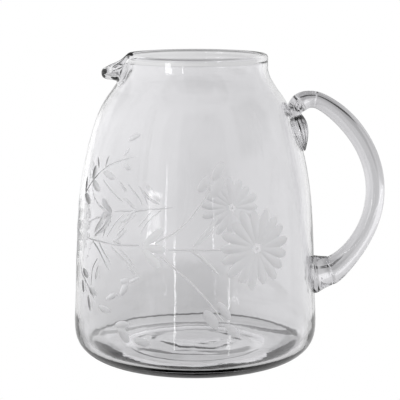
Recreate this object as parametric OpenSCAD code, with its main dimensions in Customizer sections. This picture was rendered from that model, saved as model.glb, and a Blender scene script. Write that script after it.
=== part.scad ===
// Cocktail pitcher: a blown glass jug with a pulled spout and a drawn loop handle.
// The origin is the centre of the standing ring, on the table.
// +Z is up, +X points to the handle and -X to the spout.

/* [Jug body] */
// Height from the table to the top of the rim
jug_h = 187.6; // [160:0.1:230]
// Largest diameter of the body, low down
body_d = 150; // [120:0.5:190]
// Outer diameter of the straight neck
neck_d = 88.6; // [78:0.1:110]
// Height of the straight neck, bead included
neck_h = 9.6; // [6:0.1:20]
// Thickness of the blown wall
wall_t = 3; // [2:0.1:5]

/* [Rim and spout] */
// Thickness of the fire-polished rim bead
rim_t = 4; // [2.6:0.1:6]
// Height of the rim bead
bead_h = 5; // [3:0.1:8]
// Length of rim that is drawn out into the spout, measured straight across
spout_w = 36; // [20:0.5:50]
// How far the lip reaches out from the neck
spout_reach = 12.7; // [4:0.1:22]
// How far the lip drops below the rim
spout_dip = 9.6; // [0:0.1:12]
// Height of the neck that bends out with the lip
spout_h = 17; // [14:0.1:22]

/* [Base] */
// Outer diameter of the standing ring
ring_d = 96.6; // [70:0.1:115]
// Width of the standing ring's flat
ring_w = 5; // [3:0.1:15]
// Height of the rounded corner between ring and body
corner_h = 24; // [14:0.5:34]
// Height of the push-up under the base
kick_h = 3.5; // [0:0.1:7]
// Height of the inner floor at its rim, above the table
floor_h = 8.5; // [7:0.1:18]
// How far the inner floor is crowned at its centre
floor_crown = 2; // [0:0.1:6]
// Diameter of the level part of the inner floor
floor_d = 126; // [60:1:132]
// Height where the inner corner has run out into the wall
inner_corner_h = 22; // [18:0.5:50]

/* [Handle] */
// Clear space between the body and the handle, for the fingers
finger_gap = 30; // [24:0.5:45]
// Thickness of the handle's rod at the grip
rod_t = 11.8; // [8:0.1:16]
// Width of the handle's rod at the grip
rod_w = 12.8; // [8:0.1:18]
// Thickness of the rod where it reaches the crimped end
rod_top_t = 10.2; // [7:0.1:14]
// Height of the middle of the grip
grip_h = 103; // [90:0.5:115]

/* [Lower pad] */
// Height of the pad's centre on the body
pad_h = 51.2; // [42:0.1:62]
// Diameter of the pad against the body
pad_d = 24; // [16:0.1:32]
// Length of the pad from the body to the rod
pad_l = 10.2; // [6:0.1:16]
// Diameter of the pad where the rod starts
pad_end_d = 18; // [12:0.1:22]
// Angle by which the pad points up
pad_tilt = 12; // [0:1:20]

/* [Crimped end] */
// Distance from the rim down to the waist of the crimped end
crimp_drop = 38; // [30:0.1:50]
// Length of the ribbed leaf below the waist
leaf_l = 21; // [12:0.1:30]
// Width of the ribbed leaf
leaf_w = 22; // [14:0.1:30]
// How far the leaf stands proud of the wall
leaf_t = 6.8; // [4:0.1:10]
// Number of ribs pressed into the leaf
rib_n = 7; // [3:1:9]
// Depth of the grooves between the ribs
rib_depth = 0.9; // [0:0.05:1.6]
// Distance from the body's wall to the seam with the rod
curl_run = 13.4; // [11:0.1:20]
// Height of the seam's centre above the waist
curl_rise = 10; // [8:0.1:16]

/* [Hidden] */
$fn = 96;

// Fineness of the surfaces
side_steps = 4;
corner_steps = 14;
floor_steps = 9;
spout_columns = 22;
neck_columns = 44;
neck_rows = 11;
cap_rows = 6;
toe_steps = 5;
flare_steps = 8;
rod_sides = 24;
rod_stations = 20;
crimp_face_sides = 40;
crimp_back_sides = 8;
curl_stations = 10;
leaf_stations = 15;

// Distance over which the slope of the wall is taken
probe = 1.5;
// How far below the pull of the spout the faceted neck starts
neck_lead = 6.6;
// Overrun of the pad into the wall, before it is cut to it
sink = 4;
// Step by which the faceted neck sits inside the turned wall that carries it
seat = 0.04;
// Depth to which the neck is rooted in that wall
root_h = 2;
// Where that root lies in the thickness of the wall, outer side first
root_shares = [0.7, 0.3];

body_r = body_d / 2;
neck_r = neck_d / 2;
ring_r = ring_d / 2;
neck_z = jug_h - neck_h;
join_z = jug_h - spout_h - neck_lead;
kick_r = ring_r - ring_w;
floor_r = floor_d / 2;

// Side of the body from the corner (0) to the neck (1): height share, then share of the
// way from the neck's radius to the body's radius
side_shares = [[0, 1], [0.16, 0.966], [0.32, 0.938], [0.48, 0.886], [0.6, 0.801], [0.7, 0.689],
    [0.78, 0.57], [0.84, 0.458], [0.89, 0.316], [0.93, 0.171], [0.97, 0.052], [1, 0]];

// Powers that set how square the corner is, and how flat the two ends of the handle's bow are
corner_power = 2.1;
corner_rise_power = 3;
lower_bow_power = 1.65;
upper_bow_power = 1.52;

// Powers that set how sharply the lip narrows, dips and turns out
reach_power = 1.9;
dip_power = 1.5;
turn_power = 1.15;
drop_power = 1.3;

// Leaf from the waist (0) to the tip (1): length share, height share off the wall, width share
leaf_shares = [[0, 0.76, 0.52], [0.1, 0.9, 0.64], [0.24, 1, 0.86], [0.4, 0.96, 1],
    [0.56, 0.84, 0.99], [0.72, 0.64, 0.88], [0.86, 0.43, 0.67], [0.95, 0.3, 0.44], [1, 0.22, 0.24]];
// Share of the leaf's thickness by which its middle line stands off the wall
leaf_lift_share = 0.13;
// Levers of the curl's curve, as shares of its run and rise
curl_out_share = 0.62;
curl_in_shares = [0.1, 0.58];
// How much the rod swells in the curl, as shares of its thickness
curl_swell_share = 0.1;
curl_spread_share = 0.15;
// Share of the pad's radius that is rounded off against the wall
pad_toe_share = 0.07;
// Power that sets how soon the rod's flare at the pad runs out
flare_power = 2.3;
// Power that sets how soon the ribs fade towards the waist and the tip
rib_fade_power = 0.4;
// Share of the upper bow over which the rod thins towards the crimped end
thin_share = 0.6;

function mix(a, b, u) = a + (b - a) * u;
function ease(u) = let(v = min(1, max(0, u))) v * v * (3 - 2 * v);
function bell(u) = abs(u) >= 1 ? 0 : (1 + cos(180 * u)) / 2;
function unit(v) = v / norm(v);
function turned(v) = [-v.y, v.x];

// Point at share u of the span after point k, on a smooth curve through all points
function on_curve(points, k, u) =
    let(a = points[max(0, k - 1)], b = points[k])
    let(c = points[k + 1], d = points[min(len(points) - 1, k + 2)])
    b + (c - a) * u / 2 + (2 * a - 5 * b + 4 * c - d) * u * u / 2
        + (3 * b - a - 3 * c + d) * u * u * u / 2;
function smooth_curve(points, steps) = concat(
    [for (k = [0 : len(points) - 2]) for (i = [0 : steps - 1]) on_curve(points, k, i / steps)],
    [points[len(points) - 1]]);
// Value of column c of a table of shares, read smoothly at share u
function read_share(table, c, u) =
    let(rows = smooth_curve(table, side_steps * 2))
    lookup(u, [for (row = rows) [row[0], row[c]]]);

// Outer profile of the body: [radius, height] points
corner_points = [for (i = [0 : corner_steps - 1])
    let(a = 90 * i / corner_steps)
    [mix(ring_r, body_r, pow(sin(a), 2 / corner_power)),
        corner_h * (1 - pow(cos(a), 2 / corner_rise_power))]];
side_points = [for (p = smooth_curve(side_shares, side_steps))
    [mix(neck_r, body_r, p[1]), mix(corner_h, neck_z, p[0])]];
side_table = [for (p = side_points) [p.y, p.x]];
function wall_r(z) = lookup(z, side_table);
function wall_slope(z) = (wall_r(z + probe) - wall_r(z - probe)) / (2 * probe);
function bore_r(z) = wall_r(z) - wall_t * norm([1, wall_slope(z)]);

outer_points = concat(corner_points, [for (p = side_points) if (p.y < join_z) p],
    [[wall_r(join_z), join_z]]);
kick_points = [for (i = [0 : floor_steps - 1])
    let(u = i / floor_steps) [kick_r * u, kick_h * cos(90 * u)]];
floor_points = [for (i = [floor_steps : -1 : 1])
    let(u = i / floor_steps) [floor_r * u, floor_h + floor_crown * bell(u)]];
inner_corner_points = [for (i = [corner_steps : -1 : 1])
    let(a = 90 * i / corner_steps)
    [mix(floor_r, bore_r(inner_corner_h), pow(sin(a), 2 / corner_power)),
        mix(floor_h, inner_corner_h, 1 - pow(cos(a), 2 / corner_rise_power))]];
bore_heights = [for (p = side_points) if (p.y > inner_corner_h + probe && p.y < join_z - probe) p.y];
bore_points = concat([[bore_r(join_z), join_z]],
    [for (i = [len(bore_heights) - 1 : -1 : 0]) [bore_r(bore_heights[i]), bore_heights[i]]]);

// Faces that join rings of points, each ring closed on itself
function ring_faces(rings, sides) = [for (i = [0 : rings - 2]) for (j = [0 : sides - 1])
    let(k = (j + 1) % sides, a = i * sides + j, b = i * sides + k)
    each [[a, b, b + sides], [a, b + sides, a + sides]]];

// Neck and spout: each column is a slice through the glass at one angle round the jug
spout_half = asin(spout_w / neck_d);
column_angles = concat(
    [for (i = [0 : spout_columns - 1]) 180 - spout_half + 2 * spout_half * i / spout_columns],
    [for (i = [0 : neck_columns - 1])
        180 + spout_half + (360 - 2 * spout_half) * i / neck_columns]);
neck_heights = [for (i = [0 : neck_rows]) mix(join_z, jug_h - rim_t / 2, i / neck_rows)];

// A point of the neck, drawn out and down by the pull of the spout
function pulled(z, away) =
    let(h = 90 * min(1, max(0, (z - jug_h + spout_h) / (spout_h - rim_t / 2))))
    let(out = spout_reach * pow(bell(away), reach_power) * pow(sin(h), turn_power))
    let(down = spout_dip * pow(bell(away), dip_power) * pow(sin(h), drop_power))
    [wall_r(z) + out, z - down];
function neck_across(z, away) =
    turned(unit(pulled(z + probe / 2, away) - pulled(z - probe / 2, away)));
function glass_at(z) =
    let(bead = ease((z - jug_h + bead_h) / (bead_h - rim_t / 2)))
    let(low = ease((z - join_z) / neck_lead))
    mix(mix(wall_r(join_z) - bore_r(join_z), wall_t, low), rim_t, bead);
function neck_inward(z, away) =
    unit(mix([-1, 0], neck_across(z, away), ease((z - join_z) / neck_lead)));
neck_foot_r = wall_r(join_z) - seat;
neck_foot_bore_r = (bore_r(join_z) + seat) / cos((180 - spout_half) / neck_columns);
neck_root = [for (u = root_shares)
    [mix(bore_r(join_z - root_h), wall_r(join_z - root_h), u), join_z - root_h]];
function neck_column(away) =
    let(outer = [for (i = [1 : neck_rows]) pulled(neck_heights[i], away)])
    let(inner = [for (i = [neck_rows : -1 : 1]) let(z = neck_heights[i])
        pulled(z, away) + glass_at(z) * neck_inward(z, away)])
    let(top = neck_heights[neck_rows], across = neck_inward(top, away), up = -turned(across))
    let(middle = outer[neck_rows - 1] + across * rim_t / 2)
    concat([neck_root[0], [neck_foot_r, join_z]], outer,
        [for (i = [1 : cap_rows - 1]) let(a = 180 * i / cap_rows)
            middle + (up * sin(a) - across * cos(a)) * rim_t / 2],
        inner, [[neck_foot_bore_r, join_z], neck_root[1]]);

module neck_and_spout() {
    rings = [for (a = column_angles) let(slice = neck_column((a - 180) / spout_half))
        [for (p = slice) [p.x * cos(a), p.x * sin(a), p.y]]];
    sides = len(rings[0]);
    closed = concat(rings, [rings[0]]);
    points = [for (ring = rings) each ring];
    count = len(rings);
    faces = [for (f = ring_faces(len(closed), sides)) [for (v = f) v % (count * sides)]];
    polyhedron(points, faces, convexity = 8);
}

// Solid of the body's outer shape, against which the pad and the crimped end are pressed
module body_blank() {
    rotate_extrude() polygon(concat([[0, 0]], outer_points, [[0, join_z]]));
}

module jug_body() color("lightsteelblue", 0.45) union() {
    rotate_extrude()
        polygon(concat(kick_points, [[kick_r, 0]], outer_points, bore_points,
            inner_corner_points, floor_points, [[0, floor_h + floor_crown]]));
    neck_and_spout();
}

// Lower pad: a flared stub, turned about an axis that points a little upwards
pad_root = [wall_r(pad_h), pad_h];
pad_axis = [cos(pad_tilt), sin(pad_tilt)];
pad_end = pad_root + pad_axis * pad_l;
pad_end_r = pad_end_d / 2;
pad_r = pad_d / 2;
pad_toe = pad_r * pad_toe_share;

module lower_pad() color("lightsteelblue", 0.6) difference() {
    translate([pad_root.x, 0, pad_root.y]) rotate([0, 90 - pad_tilt, 0]) rotate_extrude()
        polygon(concat([[0, -sink], [pad_r - pad_toe, -sink], [pad_r - pad_toe, 0]],
            [for (i = [1 : toe_steps]) let(a = 90 * i / toe_steps)
                [pad_r - pad_toe * (1 - sin(a)), pad_toe * (1 - cos(a)) + pad_toe]],
            [for (i = [1 : flare_steps]) let(u = i / flare_steps)
                [mix(pad_r, pad_end_r, sin(90 * u)), mix(2 * pad_toe, pad_l, u)]],
            [[0, pad_l]]));
    body_blank();
}

// Centre line of the handle: two quarters of one rounded bow that meet at the grip
grip_x = body_r + finger_gap + rod_t / 2;
waist_z = jug_h - crimp_drop;
seam = [wall_r(waist_z) + curl_run, waist_z + curl_rise];
function bow(from, a, power) =
    [mix(from.x, grip_x, pow(cos(a), power)), mix(grip_h, from.y, sin(a))];
// Angles from the grip (0) to an end of the bow (90), in steps that widen towards the end
bow_angles = [for (i = [0 : rod_stations]) 90 * (1 - cos(90 * i / rod_stations))];
lower_bow = [for (i = [rod_stations : -1 : 1]) bow(pad_end, bow_angles[i], lower_bow_power)];
upper_bow = [for (a = bow_angles) bow(seam, a, upper_bow_power)];
rod_line = concat(lower_bow, upper_bow);

function bow_share(p, from) = (p.x - from.x) / (grip_x - from.x);
function rod_half(i, grip, top) =
    i < rod_stations ? mix(grip, pad_end_r, pow(1 - bow_share(rod_line[i], pad_end), flare_power))
    : mix(top, grip, ease(bow_share(rod_line[i], seam) / thin_share));
seam_along = unit(rod_line[2 * rod_stations] - rod_line[2 * rod_stations - 1]);
function rod_along(i) = i == 0 ? pad_axis : i == 2 * rod_stations ? seam_along
    : unit(rod_line[i + 1] - rod_line[i - 1]);

// Ring of points round a place on a line in the XZ plane; thick lies in that plane
function ring_at(place, along, thick, wide, sides) =
    let(across = turned(along))
    [for (j = [0 : sides - 1]) let(a = 360 * j / sides)
        [place.x + across.x * thick * sin(a), wide * cos(a), place.y + across.y * thick * sin(a)]];

// Solid through rings of points, closed by a flat face at each end
module lofted(rings) {
    sides = len(rings[0]);
    count = len(rings);
    polyhedron([for (ring = rings) each ring],
        concat([[for (j = [sides - 1 : -1 : 0]) j]], ring_faces(count, sides),
            [[for (j = [0 : sides - 1]) (count - 1) * sides + j]]), convexity = 6);
}

module handle() color("lightsteelblue", 0.6)
    lofted([for (i = [0 : 2 * rod_stations])
        ring_at(rod_line[i], rod_along(i), rod_half(i, rod_t / 2, rod_top_t / 2),
            rod_half(i, rod_w / 2, rod_top_t / 2), rod_sides)]);

// Crimped end: the rod's hot end curls down onto the wall, narrows to a waist and is
// pressed out into a ribbed leaf
function leaf_place(u) = let(z = waist_z - leaf_l * u)
    [wall_r(z) + leaf_t * leaf_lift_share, z];
waist = leaf_place(0);
curl_levers = [seam, seam + seam_along * curl_run * curl_out_share,
    waist + [-curl_run * curl_in_shares[0], curl_rise * curl_in_shares[1]], waist];
function on_levers(p, u) = let(v = 1 - u)
    p[0] * v * v * v + 3 * p[1] * v * v * u + 3 * p[2] * v * u * u + p[3] * u * u * u;
curl_line = [for (i = [0 : curl_stations - 1]) on_levers(curl_levers, i / curl_stations)];
leaf_line = [for (i = [0 : leaf_stations]) leaf_place(i / leaf_stations)];
crimp_line = concat(curl_line, leaf_line);
crimp_last = len(crimp_line) - 1;
function crimp_along(i) = i == 0 ? seam_along
    : unit(crimp_line[min(crimp_last, i + 1)] - crimp_line[i - 1]);
function curl_half(u, last, swell) =
    mix(rod_top_t / 2, last, ease(u)) + rod_top_t * swell * bell(2 * u - 1);
function crimp_thick(i) = i < curl_stations
    ? curl_half(i / curl_stations, crimp_thick(curl_stations), curl_swell_share)
    : leaf_t * (read_share(leaf_shares, 1, (i - curl_stations) / leaf_stations) - leaf_lift_share);
function crimp_wide(i) = i < curl_stations
    ? curl_half(i / curl_stations, crimp_wide(curl_stations), curl_spread_share)
    : leaf_w / 2 * read_share(leaf_shares, 2, (i - curl_stations) / leaf_stations);
function rib_fade(i) = i < curl_stations ? 0
    : pow(bell(2 * (i - curl_stations) / leaf_stations - 1), rib_fade_power);

// Angles round a ring of the crimped end: close on the ribbed face, wide against the wall
crimp_angles = concat([for (j = [0 : crimp_face_sides - 1]) 180 * j / crimp_face_sides],
    [for (j = [0 : crimp_back_sides - 1]) 180 + 180 * j / crimp_back_sides]);
function crimp_ring(i) =
    let(along = crimp_along(i), across = turned(along), place = crimp_line[i])
    let(thick = crimp_thick(i), wide = crimp_wide(i))
    [for (a = crimp_angles)
        let(groove = rib_depth * rib_fade(i) * (1 - cos(360 * rib_n * a / 180)) / 2)
        let(t = (a < 180 ? thick - groove : thick) * sin(a))
        [place.x + across.x * t, wide * cos(a), place.y + across.y * t]];

module crimped_end() color("lightsteelblue", 0.6) difference() {
    lofted([for (i = [0 : crimp_last]) crimp_ring(i)]);
    body_blank();
}

jug_body();
lower_pad();
handle();
crimped_end();
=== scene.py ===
"""Cocktail pitcher of clear blown glass: pulled spout, drawn handle and wheel-cut flowers."""

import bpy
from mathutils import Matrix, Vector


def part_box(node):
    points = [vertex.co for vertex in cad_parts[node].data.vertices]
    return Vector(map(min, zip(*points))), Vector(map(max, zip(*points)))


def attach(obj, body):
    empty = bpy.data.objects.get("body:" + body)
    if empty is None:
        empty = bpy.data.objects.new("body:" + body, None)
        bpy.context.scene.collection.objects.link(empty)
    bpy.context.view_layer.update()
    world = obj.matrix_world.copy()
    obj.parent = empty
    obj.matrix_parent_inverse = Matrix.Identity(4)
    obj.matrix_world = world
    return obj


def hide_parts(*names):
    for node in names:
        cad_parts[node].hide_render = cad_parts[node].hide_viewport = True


bl_info = {
    "name": "Cut Glass Pitcher",
    "version": (1, 0, 0),
    "blender": (4, 5, 0),
    "location": "3D View > Sidebar > Pitcher",
    "description": "Blows, crimps and cuts a glass pitcher, one piece at a time",
    "category": "Add Mesh",
}

import bpy
from bpy.props import FloatProperty, FloatVectorProperty, IntProperty, PointerProperty
from math import asin, atan2, cos, hypot, pi, radians, sin, tau
from mathutils import Vector
from mathutils.kdtree import KDTree

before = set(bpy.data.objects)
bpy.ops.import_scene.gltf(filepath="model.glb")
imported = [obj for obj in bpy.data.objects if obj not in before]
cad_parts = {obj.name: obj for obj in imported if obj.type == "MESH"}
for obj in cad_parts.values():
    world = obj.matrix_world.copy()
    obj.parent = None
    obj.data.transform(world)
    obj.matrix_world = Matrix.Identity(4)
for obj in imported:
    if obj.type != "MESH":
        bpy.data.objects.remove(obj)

MM = 0.001
BODY_LOW, BODY_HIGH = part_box("jug_body")


def length(name, description, millimetres):
    """A length property, written in millimetres and kept in metres."""
    return FloatProperty(name=name, description=description, default=millimetres * MM,
                         min=0, unit="LENGTH", subtype="DISTANCE", precision=5)


def share(name, description, value):
    """A plain number without a unit."""
    return FloatProperty(name=name, description=description, default=value, precision=4)


def tint(name, description, colour):
    return FloatVectorProperty(name=name, description=description, subtype="COLOR", size=3,
                               default=colour, min=0, max=1)


def tilt(name, description, angle):
    return FloatProperty(name=name, description=description, default=radians(angle),
                         unit="ROTATION", subtype="ANGLE")


class JugSizes(bpy.types.PropertyGroup):
    height: length("Height", "Table to the top of the rim", BODY_HIGH.z / MM)
    body_diameter: length("Body", "Largest diameter, low down", (BODY_HIGH.y - BODY_LOW.y) / MM)
    neck_diameter: length("Neck", "Outer diameter of the straight neck", 88.6)
    neck_height: length("Neck height", "Straight part under the rim, bead included", 9.6)
    wall: length("Wall", "Thickness of the blown wall", 3)
    rim: length("Rim", "Thickness of the fire-polished bead", 4)
    bead_height: length("Bead height", "Height of the rim bead", 5)
    spout_width: length("Spout width", "Length of rim that is drawn out", 36)
    spout_reach: length("Spout reach", "How far the lip reaches out", 12.7)
    spout_dip: length("Spout dip", "How far the lip drops below the rim", 9.6)
    spout_height: length("Spout height", "Height of the neck that bends out with the lip", 17)
    ring_diameter: length("Standing ring", "Outer diameter of the flat that stands", 96.6)
    ring_width: length("Ring width", "Width of the standing ring's flat", 5)
    corner_height: length("Corner", "Height of the rounded corner above the ring", 24)
    kick_height: length("Push-up", "Height of the push-up under the base", 3.5)
    floor_height: length("Floor", "Inner floor at its rim, above the table", 8.5)
    floor_crown: length("Floor crown", "How far the inner floor rises at its centre", 2)
    floor_diameter: length("Floor diameter", "Level part of the inner floor", 126)
    inner_corner_height: length("Inner corner", "Where the inner corner meets the bore", 28)


class PadSizes(bpy.types.PropertyGroup):
    height: length("Height", "Centre of the pad on the body", 51.2)
    diameter: length("Diameter", "Pad against the body", 24)
    length: length("Length", "From the body to the rod", 10.2)
    end_diameter: length("End diameter", "Where the rod starts", 18)
    tilt: tilt("Tilt", "How far the pad points up", 12)


class RodSizes(bpy.types.PropertyGroup):
    finger_gap: length("Finger gap", "Clear space between body and handle", 30)
    thickness: length("Thickness", "Rod at the grip, in the plane of the bow", 11.8)
    width: length("Width", "Rod at the grip, across the bow", 12.8)
    top_thickness: length("Top thickness", "Rod where it meets the crimped end", 10.2)
    grip_height: length("Grip height", "Middle of the grip above the table", 103)


class CrimpSizes(bpy.types.PropertyGroup):
    drop: length("Drop", "Rim down to the waist of the crimped end", 38)
    leaf_length: length("Leaf length", "Ribbed leaf below the waist", 21)
    leaf_width: length("Leaf width", "Ribbed leaf across", 22)
    leaf_thickness: length("Leaf thickness", "How far the leaf stands off the wall", 6.8)
    ribs: IntProperty(name="Ribs", description="Ribs pressed into the leaf", default=7, min=3)
    rib_depth: length("Rib depth", "Depth of the grooves between ribs", 0.9)
    curl_run: length("Curl run", "Wall to the seam with the rod", 13.4)
    curl_rise: length("Curl rise", "Seam above the waist", 10)


class CutSizes(bpy.types.PropertyGroup):
    petals: IntProperty(name="Petals", description="Petals of one daisy", default=17, min=6)
    petal_reach: length("Petal reach", "Centre of a daisy to the tips of its petals", 23)
    petal_start: length("Petal start", "Centre of a daisy to the inner ends of its petals", 2.5)
    petal_width: length("Petal width", "Widest place of a petal", 5.8)
    petal_depth: length("Petal depth", "Deepest place of a petal", 0.5)
    eye: length("Eye", "Diameter of the dimple in the middle of a daisy", 2.4)
    eye_depth: length("Eye depth", "Depth of that dimple", 0.12)
    leaf_depth: length("Leaf depth", "Deepest place of an oval leaf", 0.45)
    stem_depth_share: share("Stem depth", "Depth of the stems, as a share of their width", 0.24)


class GlassColours(bpy.types.PropertyGroup):
    clear: tint("Clear glass", "What white light keeps after one wall", (0.962, 0.960, 0.972))
    drawn: tint("Drawn glass", "What white light keeps after the solid rod", (0.76, 0.755, 0.775))
    ground: tint("Cut glass", "Colour of the ground cuts", (0.93, 0.93, 0.94))
    ior: share("Bending", "Refractive index of soda glass", 1.5)
    ground_roughness: share("Cut roughness", "How matt the wheel leaves the glass", 0.5)
    ground_bloom: share("Cut bloom", "Light that the ground skin scatters back", 0.1)
    # Partly painted highlight: the bud and its stems scatter more white back than the other cuts,
    # which stands in for the light they catch; their coarser cut gives the rest
    painted_highlight_bloom: share("Deep bloom", "The same for the bud and its stems, cut coarser", 0.5)
    polish: share("Polish", "Roughness of the fire-polished surface", 0.0)


class StageSettings(bpy.types.PropertyGroup):
    camera_place: FloatVectorProperty(name="Camera", description="Where the camera stands",
                                      unit="LENGTH", size=3, default=(0.003, -0.9, 0.2509))
    camera_dip: tilt("Dip", "How far the camera looks down", 9.67)
    lens: FloatProperty(name="Lens", description="Focal length on a 36 mm wide sensor",
                        default=133.245, unit="CAMERA")
    floor_radius: length("Floor", "Radius of the round floor", 15000)


# Side of the body, from the corner (0) to the neck (1): height share, then share of the way
# from the neck's radius to the body's radius
SIDE_SHARES = [(0, 1), (0.16, 0.966), (0.32, 0.938), (0.48, 0.886), (0.6, 0.801), (0.7, 0.689),
               (0.78, 0.57), (0.84, 0.458), (0.89, 0.316), (0.93, 0.171), (0.97, 0.052), (1, 0)]
# Leaf of the crimped end, from the waist (0) to the tip (1): height and width shares
LEAF_SHARES = [(0, 0.76, 0.52), (0.1, 0.9, 0.64), (0.24, 1, 0.86), (0.4, 0.96, 1),
               (0.56, 0.84, 0.99), (0.72, 0.64, 0.88), (0.86, 0.43, 0.67), (0.95, 0.3, 0.44),
               (1, 0.22, 0.24)]

# Powers of the curves: the corner, the bow of the handle, the pull of the spout, and fades
CORNER_OUT, CORNER_UP = 2.1, 3.0
CORNER_EVEN = 1.6  # evens out the steps of the inner corner
BOW_LOW, BOW_HIGH = 1.65, 1.52
REACH_POWER, DIP_POWER, TURN_POWER, DROP_POWER = 1.9, 1.5, 1.15, 1.3
FLARE_POWER, RIB_FADE_POWER, ROD_FADE_POWER, KICK_POWER = 2.3, 0.4, 0.3, 5.0

LIP_DROP = 2.8 * MM  # extra glass at the tip of the spout
LIP_DENT = 0.8 * MM  # dip of the rim behind that drop
DENT_MIDDLE, DENT_HALF = 0.5, 0.3  # place and reach of that dip, as shares of half the spout
PROBE = 1.5 * MM  # span over which a slope is taken
NECK_LEAD = 6.6 * MM  # neck below the spout's pull, where the two walls blend
LEAF_LIFT_SHARE = 0.13  # middle line of the leaf, off the wall
CURL_OUT_SHARE = 0.62  # levers of the curl, as shares of its run and rise
CURL_IN_SHARES = (0.1, 0.58)
CURL_SWELLS = (0.1, 0.15)  # in thickness and in width
PAD_FLARE = 1.25  # power that widens the pad against the wall
THIN_SHARE = 0.6  # part of the upper bow over which the rod thins
SEAT = 0.05 * MM  # depth to which fused pieces are let into the wall
SINK = 4 * MM  # overrun of the pad into the wall, before it is fitted to it
WELD = 0.002 * MM  # distance under which points are merged
SEAM_REACH, SEAM_FACING = 0.01 * MM, 0.99  # how a flat seam is told from the faces round it
# Seeds in the pad: along the pad's axis, across it and up from it as shares, then diameter
SEEDS = [(0.75, -0.6, 0.42, 1.3 * MM), (0.32, -0.5, -0.86, 1.0 * MM), (0.55, 0.3, 0.55, 0.7 * MM),
         (0.25, 0.45, -0.35, 0.8 * MM)]
# Eye of the curl: place of its middle as shares of the curl's run and rise from the waist,
# and its radii along X, Y and Z
EYE_SHARES = (0.13, 0.66)
EYE_RADII = (2.5 * MM, 5.0 * MM, 3.3 * MM)

# Fineness of the meshes
AROUND = 256
SIDE_STEPS, FINE_STEPS, CORNER_STEPS, FLOOR_STEPS, KICK_STEPS = 6, 8, 20, 22, 44
LEAF_STEPS = 8
NECK_ROWS, CAP_ROWS = 24, 12
ROD_SIDES, ROD_STATIONS = 56, 48
PAD_STEPS = 12
CURL_STATIONS, LEAF_STATIONS = 22, 44
RIB_SIDES, BACK_SIDES = 14, 22
SCOOP_SIDES, SCOOP_ROWS = 32, 16
SEED_SIDES, SEED_ROWS = 16, 10
PAPER_SIDES = 96

# Unevenness left by the hand
WALL_WAVER, BORE_WAVER, ROD_WAVER = 0.09 * MM, 0.16 * MM, 0.12 * MM
FLOOR_WAVE, FLOOR_WAVE_COUNT = 0.2 * MM, 7
KICK_WAVE, KICK_WAVE_COUNT = 0.17 * MM, 4
KICK_WAVE_MIDDLE, KICK_WAVE_HALF = 7 / 12, 5 / 12  # band of the push-up that waves, by radius
OUTER_PHASE, INNER_PHASE = 0.4, 2.6
# Lobes round the jug, turn with each metre of height, and share of the phase
WAVER_TERMS = ((2, 31, 1), (3, -67, 2.1), (5, 118, 0.7), (8, -53, 3.3))
DRIFT_TERMS = ((1.3, 2), (0.8, 3), (0.5, 7))  # how far the rings stray, and in how many lobes
NEAR_RINGS_TURN = 0.3  # the rings are strongest on the camera's side, turned by this


def mix(a, b, u):
    return a + (b - a) * u


def ease(u):
    v = min(1.0, max(0.0, u))
    return v * v * (3 - 2 * v)


def bell(u):
    return 0.0 if abs(u) >= 1 else (1 + cos(pi * u)) / 2


def unit(v):
    size = hypot(*v)
    return (v[0] / size, v[1] / size)


def turned(v):
    return (-v[1], v[0])


def parts(count):
    """Even steps from 0 to 1."""
    return [i / count for i in range(count + 1)]


def stepped(place, way, far):
    """A point of a plane, moved some way in a direction."""
    return (place[0] + way[0] * far, place[1] + way[1] * far)


def heading(a, b):
    """Direction from one point of a plane to another."""
    return unit((b[0] - a[0], b[1] - a[1]))


def rounded(low, high, a):
    """A point of a rounded corner that starts level at low and ends upright at high."""
    return (mix(low[0], high[0], sin(a) ** (2 / CORNER_OUT)),
            mix(low[1], high[1], 1 - max(0.0, cos(a)) ** (2 / CORNER_UP)))


def smooth_curve(points, steps):
    """Points of one smooth curve that passes through all the given points."""
    found = []
    for k in range(len(points) - 1):
        a, b, c, d = (points[min(len(points) - 1, max(0, k + i))] for i in (-1, 0, 1, 2))
        for u in parts(steps)[:-1]:
            found.append(tuple(
                q + (r - p) * u / 2 + (2 * p - 5 * q + 4 * r - s) * u * u / 2
                + (3 * q - p - 3 * r + s) * u ** 3 / 2 for p, q, r, s in zip(a, b, c, d)))
    return found + [tuple(points[-1])]


def lookup(rows, x, column=1):
    """Value of a column of rows at x, which is their first column and rises."""
    low, high = 0, len(rows) - 1
    while high - low > 1:
        middle = (low + high) // 2
        low, high = (middle, high) if rows[middle][0] <= x else (low, middle)
    a, b = rows[low], rows[high]
    u = min(1.0, max(0.0, (x - a[0]) / (b[0] - a[0])))
    return mix(a[column], b[column], u)


def waver(angle, z, phase):
    """Slow unevenness of hand-blown glass, between -1 and 1."""
    return sum(sin(lobes * angle + rise * z + part * phase)
               for lobes, rise, part in WAVER_TERMS) / len(WAVER_TERMS)


def wave(angle, rings):
    """Uneven rings left by turning the hot base, between -1 and 1."""
    drift = sum(size * sin(lobes * angle) for size, lobes in DRIFT_TERMS)
    return sin(tau * rings + drift) * (2 - sin(angle + NEAR_RINGS_TURN)) / 3


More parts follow.
